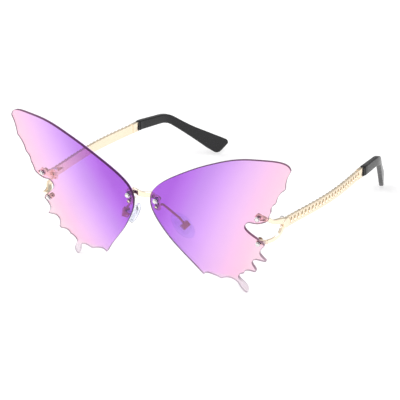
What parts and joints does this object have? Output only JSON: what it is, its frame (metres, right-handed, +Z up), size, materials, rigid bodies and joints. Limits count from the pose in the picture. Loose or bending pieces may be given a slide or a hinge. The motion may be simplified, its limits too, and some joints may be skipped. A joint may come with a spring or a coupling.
{
  "type": "butterfly sunglasses",
  "caption": "Rimless sunglasses with butterfly-wing lenses, a slim metal bridge with rocking nose pads, forked end pieces and folding chain-pattern temples with curved tips.",
  "frame": {"origin": "centre of the footprint, on the surface that the glasses stand on", "axes": "+Z up, the front faces -Y, the open temples run towards +Y, +X is the wearer's left"},
  "size_m": [0.1558, 0.157, 0.0754],
  "materials": {
    "lens": "clear tinted plastic, violet at the nose fading to pink at the outer edge",
    "gold": "polished pale rose-gold plating",
    "clear_plastic": "clear moulded plastic",
    "screw_steel": "bright turned steel",
    "pad_metal": "plain metal insert",
    "silicone": "soft clear silicone",
    "black_tip": "glossy black acetate"
  },
  "bodies": {
    "front": {"left_lens": "lens", "right_lens": "lens", "bridge": "gold", "bridge_bushings": "clear_plastic", "bridge_washers": "clear_plastic", "bridge_nuts": "gold", "bridge_screws": "screw_steel", "peg_sleeves": "clear_plastic", "left_pad_arm": "gold", "right_pad_arm": "gold", "left_pad_box": "gold", "right_pad_box": "gold", "pad_screws": "screw_steel", "end_piece_bushings": "clear_plastic", "end_piece_washers": "clear_plastic", "end_piece_nuts": "gold", "end_piece_screws": "screw_steel", "left_end_piece": "gold", "right_end_piece": "gold", "hinge_screws": "screw_steel"},
    "left_temple": {"left_temple": "gold", "left_temple_tip": "black_tip"},
    "right_temple": {"right_temple": "gold", "right_temple_tip": "black_tip"},
    "left_pad": {"left_nose_pad": "silicone", "left_pad_core": "pad_metal"},
    "right_pad": {"right_nose_pad": "silicone", "right_pad_core": "pad_metal"}
  },
  "joints": [
    {"name": "left_temple_fold", "type": "hinge", "parent": "front", "child": "left_temple", "pos_m": [0.0637, -0.05496, 0.0368], "axis": [0, 0, 1], "range_deg": [0, 77]},
    {"name": "right_temple_fold", "type": "hinge", "parent": "front", "child": "right_temple", "pos_m": [-0.0637, -0.05496, 0.0368], "axis": [0, 0, -1], "range_deg": [0, 88]},
    {"name": "left_pad_rock", "type": "hinge", "parent": "front", "child": "left_pad", "pos_m": [0.01631, -0.06451, 0.02963], "axis": [0.3853, 0.7874, 0.4812], "range_deg": [-10, 10]},
    {"name": "right_pad_rock", "type": "hinge", "parent": "front", "child": "right_pad", "pos_m": [-0.01631, -0.06451, 0.02963], "axis": [-0.3853, 0.7874, 0.4812], "range_deg": [-10, 10]}
  ]
}
